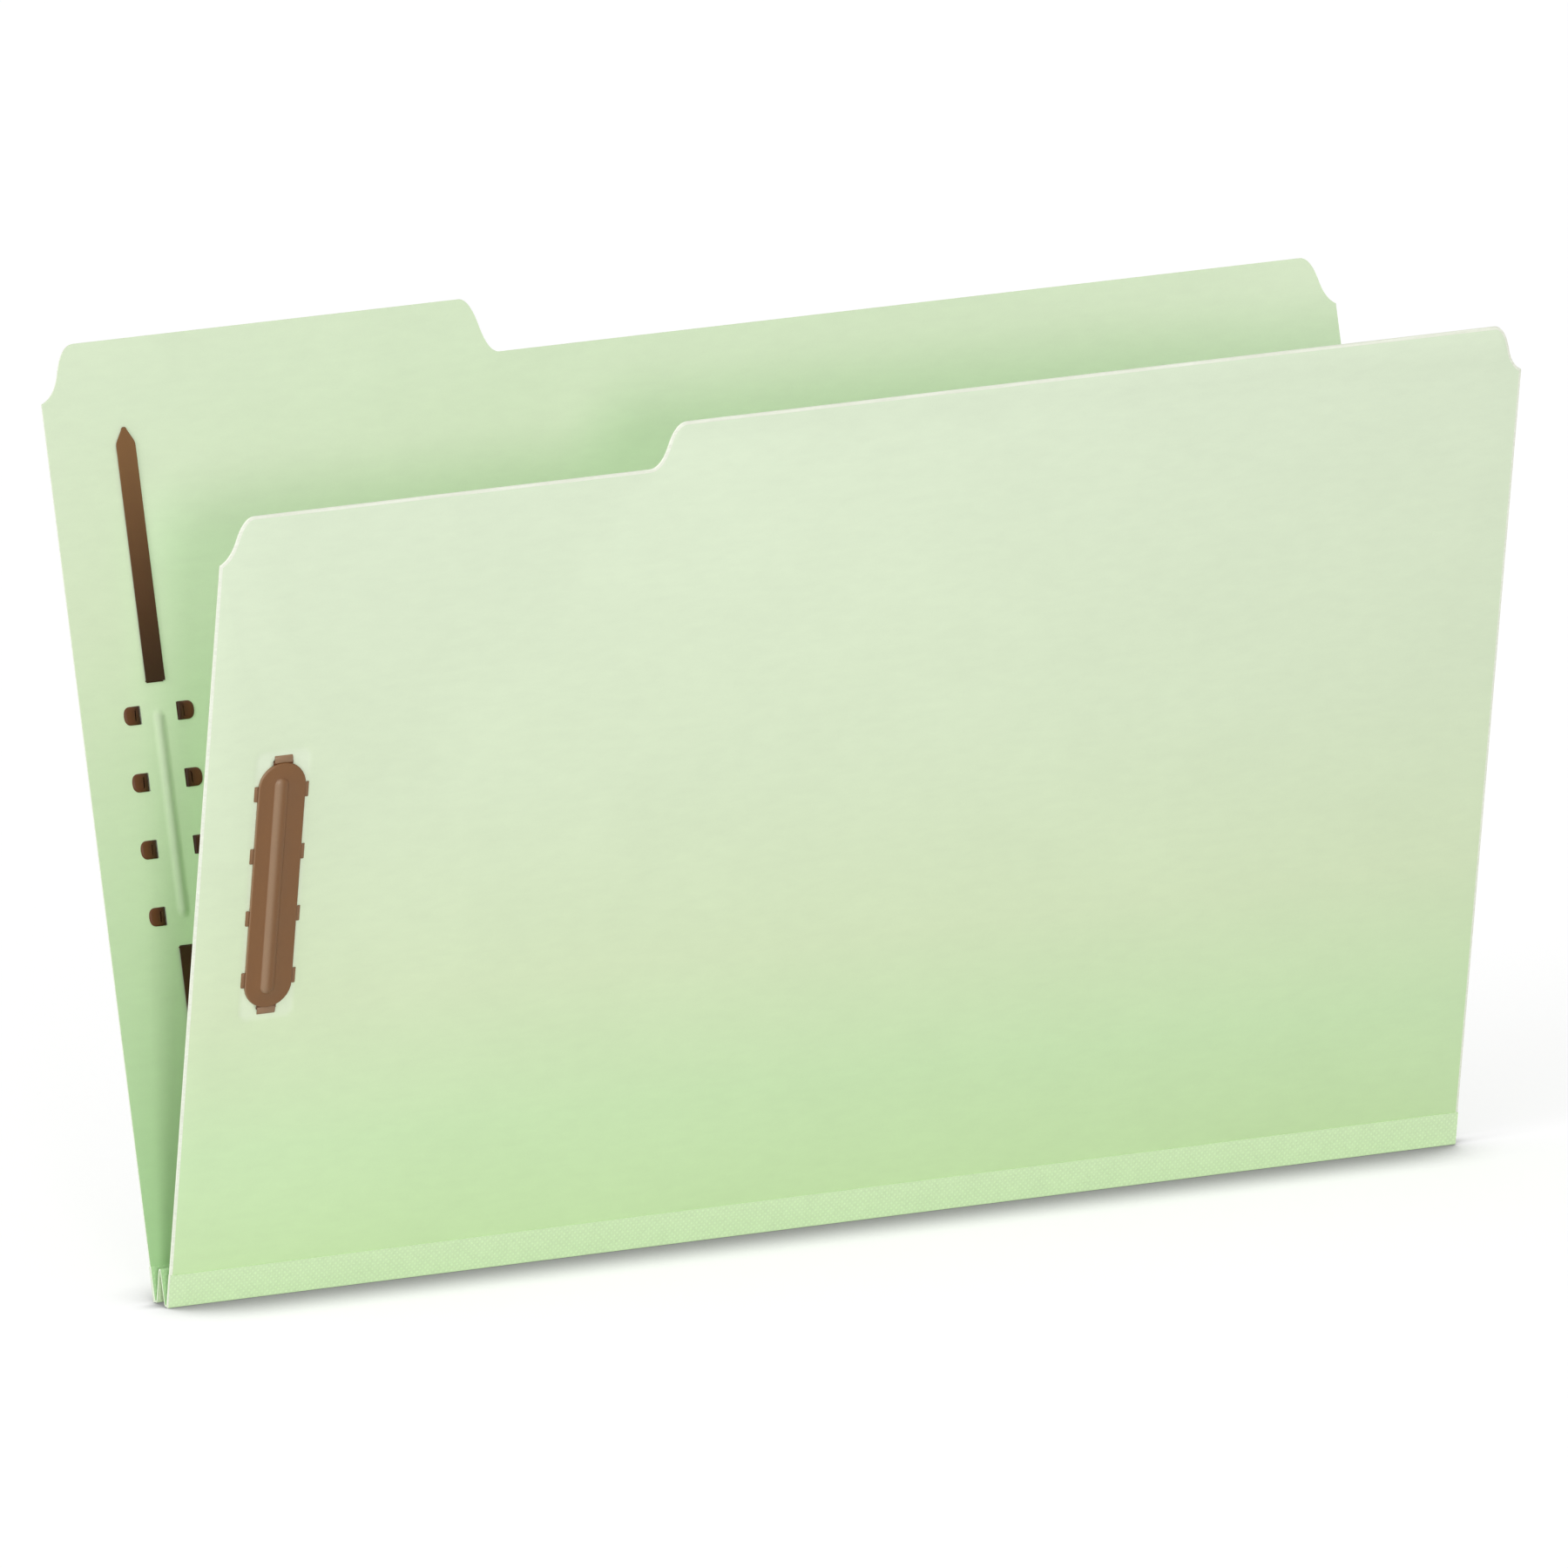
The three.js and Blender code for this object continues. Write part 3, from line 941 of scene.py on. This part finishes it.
def plate_rings(side):
    """Rings of the plate, from its foot over the rounded rim and up the rib to its crown."""
    centre = CENTRE_HEIGHT[side]
    profile = [(PLATE_WIDTH / 2, PLATE_FOOT_DEPTH)]
    for inset, drop in rounding(PLATE_RIM_ROUND):
        profile.append((PLATE_WIDTH / 2 - inset, PLATE_TOP_DEPTH - drop))
    half = PLATE_RIB_WIDTH / 2
    profile.append((half + PLATE_RIB_MARGIN, PLATE_TOP_DEPTH))
    for step in range(PLATE_RIB_STEPS):
        angle = math.pi / 2 * (step + 0.5) / PLATE_RIB_STEPS
        rise = PLATE_RIB_HEIGHT * math.sin(angle)
        profile.append((half * math.cos(angle), PLATE_TOP_DEPTH + rise))
    rings = []
    for reach, depth in profile:
        if reach > half + PLATE_RIB_MARGIN:
            length = PLATE_LENGTH - PLATE_WIDTH + 2 * reach
            middle = FASTENER_X
        else:
            length = PLATE_RIB_LENGTH - PLATE_RIB_WIDTH + 2 * reach
            middle = FASTENER_X + PLATE_RIB_SHIFT
        rings.append([on_cover(side, middle + x, depth, centre + y) for x, y in obround(2 * reach, length)])
    return rings


def bent_loop(side, x, height, width, reach, direction):
    """A tang that comes out below the plate's rim, arches over and bends into the board."""
    centre = CENTRE_HEIGHT[side]
    foot = PLATE_FOOT_DEPTH - LOOP_SINK
    top = PLATE_TOP_DEPTH - LOOP_DROP
    start = (-LOOP_ROOT, top - LOOP_ROOT_DROP)
    crest = (LOOP_CREST * reach, top)
    outer = [start] + parabola(start, (LOOP_RISE * reach, top), crest, steps=5)
    outer += parabola(crest, (reach, top), (reach, top - LOOP_FALL * reach), steps=6)
    outer.append((reach, foot))
    inner = [(distance - LOOP_THICKNESS, depth - LOOP_THICKNESS) for distance, depth in outer[:-1]]
    inner.append((reach - LOOP_THICKNESS, foot))
    section = outer + inner[::-1]
    half = width / 2
    near = half - LOOP_EDGE_WIDTH
    rings = []
    for across, shrink in ((-half, LOOP_EDGE), (-near, 0), (near, 0), (half, LOOP_EDGE)):
        ring = []
        for distance, depth in section:
            along = distance - shrink
            dx = direction[0] * along + direction[1] * across
            dy = direction[1] * along + direction[0] * across
            ring.append(on_cover(side, FASTENER_X + x + dx, depth - shrink, centre + height + dy))
        rings.append(ring)
    return loft(rings)


def tang_end(side, end, row_height):
    """The end of a tang, clinched on the board's inner face: straight at the slit, round beyond."""
    half = TANG_END_WIDTH / 2
    rings = []
    for step in range(TANG_STEPS):
        share = step / (TANG_STEPS - 1)
        # The rings get smaller as they rise, first slowly and then fast, which rounds the top.
        inset = TANG_TOP_INSET * share ** 2
        start_x = TANG_TOP_START * share ** 1.5
        depth = BOARD_DEPTH - TANG_RISE * (1 - (1 - share) ** 2.5)
        top = half - inset
        end_x = TANG_REACH - inset
        loop = [(start_x, -top), (end_x - TANG_CORNER, -top)]
        loop += parabola(loop[-1], (end_x, -top), (end_x, 0), CORNER_STEPS)
        loop += parabola(loop[-1], (end_x, top), (end_x - TANG_CORNER, top), CORNER_STEPS)
        loop.append((start_x, top))
        rings.append([on_cover(side, FASTENER_X + end * (TANG_FLAT_X + x), depth, row_height + y)
                      for x, y in loop])
    return loft(rings)


def highlight_share(side, point):
    """How strongly a painted highlight makes the plate paler: its rib and rim, where they face the folder's
    near end and the light.
    """
    across = point.x / MM - FASTENER_X
    rise = depth_on(side, point) - PLATE_TOP_DEPTH
    rib_side = smooth_step(RIB_HIGHLIGHT_START, RIB_HIGHLIGHT_FULL, across - PLATE_RIB_SHIFT)
    on_rib = smooth_step(0, RIB_HIGHLIGHT_RISE, rise) * rib_side
    on_rim = smooth_step(0, -RIM_HIGHLIGHT_DROP, rise) * smooth_step(0, -PLATE_WIDTH / 2, across)
    return max(on_rib, on_rim)


def build_plate(side, lacquer, inner_lacquer):
    """A plate with its rib, its bent loops, and the ends of its tangs on the inner face."""
    centre = CENTRE_HEIGHT[side]
    outside = [loft(plate_rings(side))]
    # Painted highlight on the rib, the rim and the loops.
    highlit = [highlight_share(side, point) for point in outside[0][0]]
    inside_ends = []
    for end in (-1, 1):
        outside.append(bent_loop(side, 0, end * PLATE_LENGTH / 2, END_LOOP_WIDTH, END_LOOP_LENGTH, (0, end)))
        highlit += [END_LOOP_HIGHLIGHT] * len(outside[-1][0])
        for height in tang_heights(centre):
            outside.append(bent_loop(side, end * PLATE_WIDTH / 2, height - centre, TANG_WIDTH,
                                     SIDE_LOOP_LENGTH, (end, 0)))
            highlit += [SIDE_LOOP_HIGHLIGHT] * len(outside[-1][0])
            inside_ends.append(tang_end(side, end, height))
    plate_points, plate_faces = joined(outside)
    tang_points, tang_faces = joined(inside_ends)
    points, faces = joined([(plate_points, plate_faces), (tang_points, tang_faces)])
    marks = [PLATE_COAT] * len(plate_faces) + [TANG_COAT] * len(tang_faces)
    highlit += [0] * len(tang_points)
    # Painted shade: the tangs' ends darken towards the slit.
    bends = [0] * len(plate_points)
    for point in tang_points:
        from_slit = abs(point.x / MM - FASTENER_X) - TANG_FLAT_X
        bends.append(1 - smooth_step(0, TANG_BEND_SHADE_REACH, from_slit))
    piece = add_piece(f"{side}_plate", points, faces, [lacquer, inner_lacquer], marks, sharp=45)
    turn_faces_out(piece)
    set_shares(piece, "bend", bends)
    set_shares(piece, "highlit", highlit)
    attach(piece, f"{side}_cover")
    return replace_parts(piece, f"{side}_fastener_plate")


def prong_loop(inset):
    """The prong's outline from its fold line to its blunt point, drawn in by inset."""
    half = PRONG_WIDTH / 2 - inset
    half_tip = PRONG_TIP_WIDTH / 2 - inset
    tip_centre = PRONG_LENGTH - PRONG_TIP_WIDTH / 2
    shoulder = PRONG_LENGTH - PRONG_TIP_LENGTH
    entry = (half, shoulder - PRONG_SHOULDER_ROUND)
    slope = (half - half_tip) / (tip_centre - shoulder)
    leave = (half - slope * PRONG_SHOULDER_ROUND, shoulder + PRONG_SHOULDER_ROUND)
    right_side = [(half, 0), entry] + parabola(entry, (half, shoulder), leave, PRONG_POINT_STEPS)
    for step in range(PRONG_POINT_STEPS + 1):
        angle = math.pi / 2 * step / PRONG_POINT_STEPS
        right_side.append((half_tip * math.cos(angle), tip_centre + half_tip * math.sin(angle)))
    left_side = [(-x, y) for x, y in right_side[-2::-1]]
    return right_side + left_side


def build_prong(side, name, direction, lacquer):
    """A flat prong with broken edges and a round root that turns in its slot."""
    fold_height = CENTRE_HEIGHT[side] + direction * PRONG_SPACING / 2
    half = PRONG_THICKNESS / 2
    near = half - PRONG_EDGE_DEPTH
    rings = []
    for inset, offset in ((PRONG_EDGE, -half), (0, -near), (0, near), (PRONG_EDGE, half)):
        rings.append([on_cover(side, FASTENER_X + x, PRONG_FOLD_DEPTH + offset, fold_height + direction * y)
                      for x, y in prong_loop(inset)])
    root = []
    turns = [math.tau * step / PRONG_ROOT_STEPS for step in range(PRONG_ROOT_STEPS)]
    for x in (-PRONG_WIDTH / 2, PRONG_WIDTH / 2):
        root.append([on_cover(side, FASTENER_X + x, PRONG_FOLD_DEPTH + half * math.cos(turn),
                              fold_height + half * math.sin(turn)) for turn in turns])
    points, faces = joined([loft(rings), loft(root)])
    piece = add_piece(f"{side}_{name}_blade", points, faces, [lacquer], sharp=35)
    turn_faces_out(piece)
    fold = on_cover(side, FASTENER_X, PRONG_FOLD_DEPTH, fold_height)
    lengths = [math.hypot(point.y - fold.y, point.z - fold.z) / MM for point in points]
    # Painted shade: the prong darkens towards its root in the slot.
    set_shares(piece, "bend", [1 - smooth_step(0, PRONG_BEND_SHADE_REACH, length) for length in lengths])
    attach(piece, f"{side}_{name}")
    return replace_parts(piece, f"{side}_{name}")


def dress_strips(lacquer):
    """The strips lie hidden under the plates and keep their shape."""
    for side in OUTWARD:
        strip = frame["nodes"][f"{side}_prong_strip"]
        for material_slot in strip.material_slots:
            material_slot.material = lacquer


# Floor, light and camera

FLOOR_SIZE = 12.0
FLOOR_WHITE = 0.82
FLOOR_SEEN_WHITE = 0.5
FLOOR_GLOW = 0.6
SHADOW_REACH = 0.03
SHADOW_CLOSED = 0.35
SHADOW_OPEN = 0.95
SHADOW_SHADE = 0.3
WORLD_LIGHT = 0.58
WORLD_BRIGHT_SIDE = tuple(Vector((-0.85, -0.2, 0.5)).normalized())
WORLD_CONTRAST = 0.8
LAMP_AIM = Vector((0, 0, 0.12))


def seen_share(nodes):
    """1 for what the camera or a reflection sees, and 0 for the light that falls on things."""
    paths = nodes.add("ShaderNodeLightPath")
    return nodes.math("MAXIMUM", paths.outputs["Is Camera Ray"], paths.outputs["Is Glossy Ray"])


def build_floor():
    """A white floor that runs out of sight, with a painted shadow close under the folder."""
    nodes = MaterialNodes("floor_white", roughness=0.9, specular=0.0)
    seen = seen_share(nodes)
    # Painted shadow: the floor darkens where the folder closes it in.
    openness = nodes.add("ShaderNodeAmbientOcclusion", samples=16)
    openness.inputs["Distance"].default_value = SHADOW_REACH
    shade = nodes.remap(openness.outputs["AO"], SHADOW_CLOSED, SHADOW_OPEN, SHADOW_SHADE, 1.0,
                        kind="SMOOTHSTEP")
    white = nodes.add("ShaderNodeCombineColor")
    grey = nodes.remap(seen, 0, 1, FLOOR_WHITE, nodes.math("MULTIPLY", shade, FLOOR_SEEN_WHITE))
    for channel in white.inputs:
        nodes.link(grey, channel)
    nodes.link(white.outputs[0], nodes.shader.inputs["Base Color"])
    glow = nodes.add("ShaderNodeEmission")
    glow_share = nodes.math("MULTIPLY", seen, shade)
    nodes.link(nodes.math("MULTIPLY", glow_share, FLOOR_GLOW), glow.inputs["Strength"])
    both = nodes.add("ShaderNodeAddShader")
    nodes.link(nodes.shader.outputs[0], both.inputs[0])
    nodes.link(glow.outputs[0], both.inputs[1])
    output = nodes.tree.nodes["Material Output"]
    nodes.link(both.outputs[0], output.inputs["Surface"])
    half = FLOOR_SIZE / 2
    corners = [(-half, -half, 0), (half, -half, 0), (half, half, 0), (-half, half, 0)]
    floor = add_piece("floor", corners, [[0, 1, 2, 3]], [nodes.material])


def build_world():
    """Plain soft light, brighter from the upper left. The camera and reflections see it white."""
    world = bpy.data.worlds.new("studio")
    bpy.context.scene.world = world
    world.use_nodes = True
    nodes = Nodes(world.node_tree)
    direction = nodes.add("ShaderNodeTexCoord").outputs["Generated"]
    towards_light = nodes.add("ShaderNodeVectorMath", operation="DOT_PRODUCT")
    nodes.link(direction, towards_light.inputs[0])
    nodes.link(WORLD_BRIGHT_SIDE, towards_light.inputs[1])
    darkest = WORLD_LIGHT * (1 - WORLD_CONTRAST)
    brightest = WORLD_LIGHT * (1 + WORLD_CONTRAST)
    soft_light = nodes.remap(towards_light.outputs["Value"], -1, 1, darkest, brightest)
    background = nodes.tree.nodes["Background"]
    nodes.link((1, 1, 1, 1), background.inputs["Color"])
    nodes.link(nodes.remap(seen_share(nodes), 0, 1, soft_light, 1.0), background.inputs["Strength"])


def build_lamp(name, turn, rise, distance, size, power):
    """A round soft lamp that points at the folder.

    It is turned from the front to the left, and raised, both in degrees."""
    turn = math.radians(turn)
    rise = math.radians(rise)
    level = Vector((-math.sin(turn), -math.cos(turn), 0)) * math.cos(rise)
    direction = level + Vector((0, 0, math.sin(rise)))
    data = bpy.data.lights.new(name, "AREA")
    data.shape = "DISK"
    data.size = size
    data.energy = power
    lamp = bpy.data.objects.new(name, data)
    lamp.location = LAMP_AIM + direction * distance
    lamp.rotation_euler = direction.to_track_quat("Z", "Y").to_euler()
    bpy.context.scene.collection.objects.link(lamp)


def build_camera():
    """The photo's view: a long lens from the front left, a little above the folder."""
    turn = math.radians(25.187)
    tip = math.radians(11.455)
    roll = math.radians(-1.624)
    distance = 10.039
    aim = Vector((-0.00292, 0, 0.11772))
    pixels_per_metre = 4381.8
    frame_pixels = 1800
    view = Vector((math.sin(turn) * math.cos(tip), math.cos(turn) * math.cos(tip), -math.sin(tip)))
    level = Vector((math.cos(turn), -math.sin(turn), 0))
    upright = level.cross(view)
    right = level * math.cos(roll) + upright * math.sin(roll)
    up = upright * math.cos(roll) - level * math.sin(roll)
    data = bpy.data.cameras.new("photo_view")
    data.sensor_width = 36
    data.lens = pixels_per_metre * distance * data.sensor_width / frame_pixels
    data.clip_end = 100
    camera = bpy.data.objects.new("photo_view", data)
    turned = Matrix((right, up, -view)).transposed().to_4x4()
    camera.matrix_world = Matrix.Translation(aim - distance * view) @ turned
    bpy.context.scene.collection.objects.link(camera)
    bpy.context.scene.camera = camera


build_camera()
build_world()
build_floor()
# The first lamp is low enough to light the rear cover above the front one.
build_lamp("front_lamp", turn=16.5, rise=8, distance=14, size=2.58, power=482)
build_lamp("side_lamp", turn=75, rise=25, distance=20, size=7.5, power=806)
bpy.context.scene.view_settings.view_transform = "Standard"

inner_paper = pressboard_inside()
outer_paper = pressboard_outside()
cut_edge = pressboard_edge()
metal = brown_lacquer("brown_lacquer", gloss=0.5, colours=[
    (0.0, linear(118, 78, 38)),
    (1.0, linear(120, 80, 40)),
])
# Painted shade: the same lacquer as the plates, darker on the inner faces lower down, and as light as the
# plates near the top.
inner_metal = brown_lacquer("brown_lacquer_inside", gloss=0.3, colours=[
    (0.40, linear(96, 55, 27)),
    (0.66, linear(96, 55, 27)),
    (0.88, linear(124, 86, 50)),
])
for cover_side, cover_outline in (("rear", rear_outline()), ("front", front_outline())):
    build_board(cover_side, cover_outline, inner_paper, outer_paper, cut_edge)
    build_plate(cover_side, metal, inner_metal)
    build_prong(cover_side, "upper_prong", 1, inner_metal)
    build_prong(cover_side, "lower_prong", -1, inner_metal)
build_tape({
    "outer": tape_face("tape_outside", linear(211, 235, 190), linear(213, 235, 193)),
    "inner": tape_face("tape_inside", linear(186, 222, 168), linear(186, 222, 168)),
}, tape_edge())
dress_strips(inner_metal)

bpy.context.view_layer.update()
